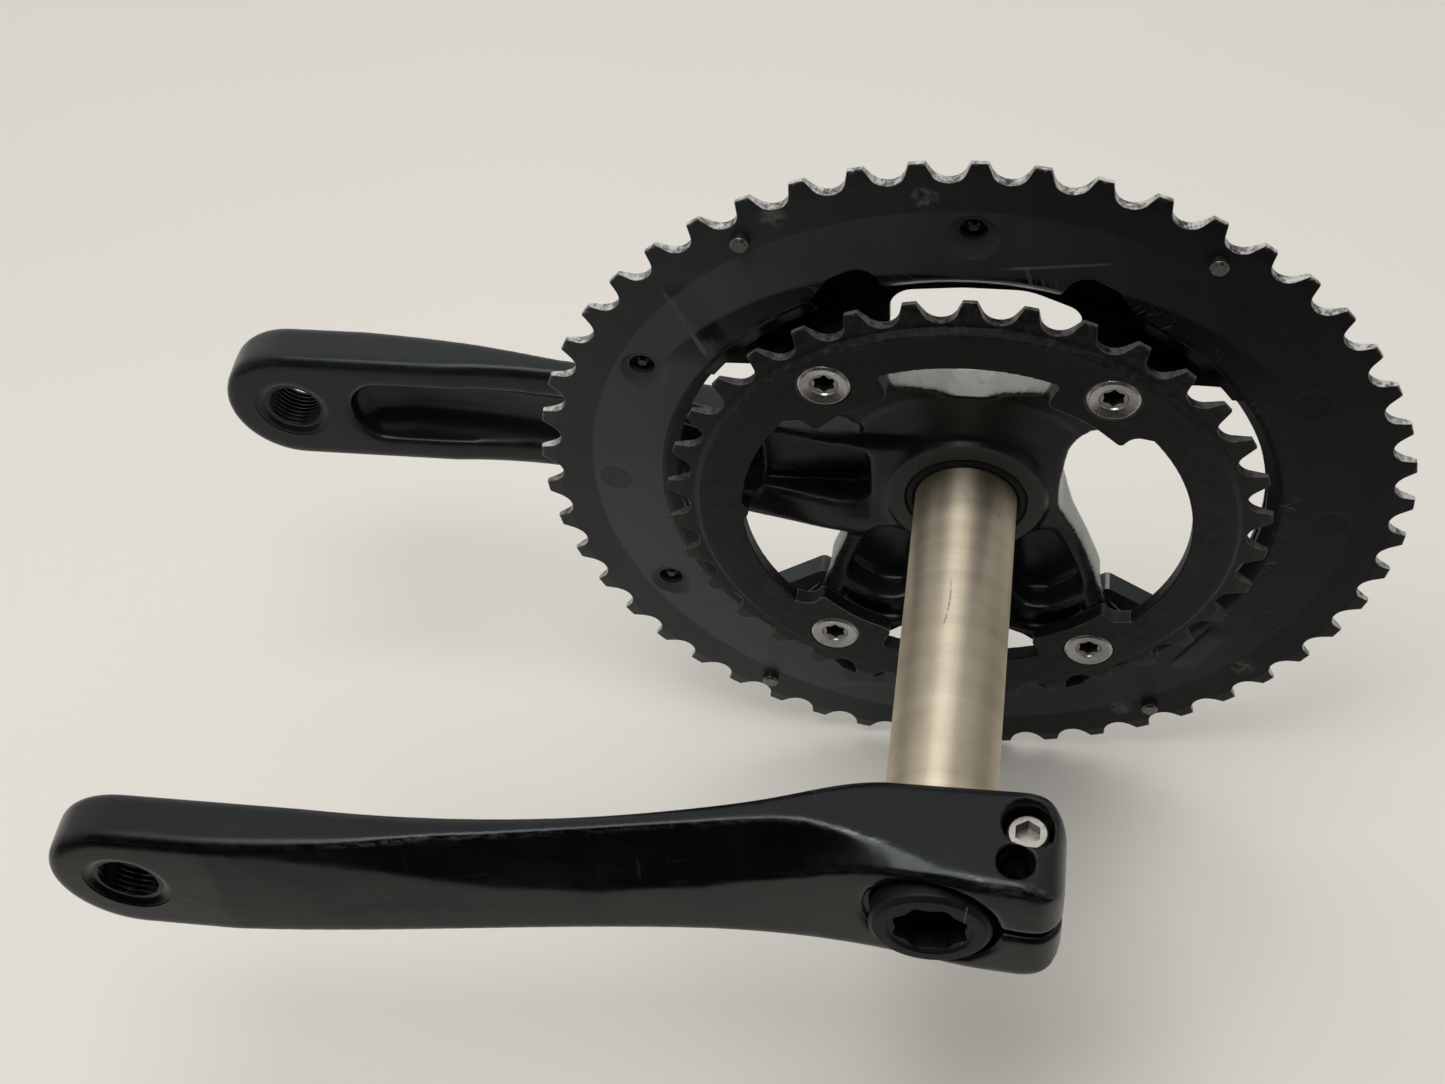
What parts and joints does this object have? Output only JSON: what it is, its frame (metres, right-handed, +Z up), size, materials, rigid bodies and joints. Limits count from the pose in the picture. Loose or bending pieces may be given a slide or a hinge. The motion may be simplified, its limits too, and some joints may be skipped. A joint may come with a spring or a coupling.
{
  "type": "bicycle crankset",
  "caption": "Two-piece road bicycle crankset: hollow spindle, forged crank arms, a spider with two toothed chainrings, split clamp and preload cap.",
  "frame": {"origin": "on the spindle axis, midway between the two bearing faces, at the bicycle's centre plane", "axes": "+Y along the spindle towards the chainrings, +Z up, both crank arms point to -X"},
  "size_m": [0.2895, 0.1506, 0.204],
  "materials": {
    "black_arm_finish": "satin black anodised, worn at the creases",
    "black_ring_finish": "satin black anodised, bare at the tooth tips",
    "spindle_steel": "turned and nickel plated, lightly stained",
    "silver_bolt": "bright zinc, satin",
    "pin_steel": "bare steel",
    "cap_resin": "dark grey, matte",
    "plate_resin": "black, matte",
    "seal_rubber": "black rubber"
  },
  "bodies": {
    "crank": {"right_crank_arm": "black_arm_finish", "left_crank_arm": "black_arm_finish", "spindle": "spindle_steel", "spindle_seal": "seal_rubber", "drive_side_plug": "cap_resin", "large_chainring": "black_ring_finish", "small_chainring": "black_ring_finish", "chain_drop_pin": "pin_steel", "clamp_bolt_inner": "silver_bolt", "clamp_bolt_outer": "silver_bolt", "clamp_bolt_inner_washer": "silver_bolt", "clamp_bolt_outer_washer": "silver_bolt", "chainring_bolt_1": "silver_bolt", "shift_pin_1": "pin_steel", "chainring_bolt_2": "silver_bolt", "shift_pin_2": "pin_steel", "chainring_bolt_3": "silver_bolt", "shift_pin_3": "pin_steel", "chainring_bolt_4": "silver_bolt", "shift_pin_4": "pin_steel", "carrier_rivet_1": "pin_steel", "carrier_rivet_2": "pin_steel", "carrier_rivet_3": "pin_steel"},
    "preload_cap": {"preload_cap": "cap_resin"},
    "stopper_plate": {"stopper_plate": "plate_resin"}
  },
  "joints": [
    {"name": "preload_cap_turn", "type": "hinge", "parent": "crank", "child": "preload_cap", "pos_m": [0, -0.0706, 0], "axis": [0, -1, 0], "range_deg": [-180, 180]},
    {"name": "stopper_plate_pivot", "type": "hinge", "parent": "crank", "child": "stopper_plate", "pos_m": [0.0164, -0.0629, 0], "axis": [0, 0, 1], "range_deg": [0, 15]}
  ]
}
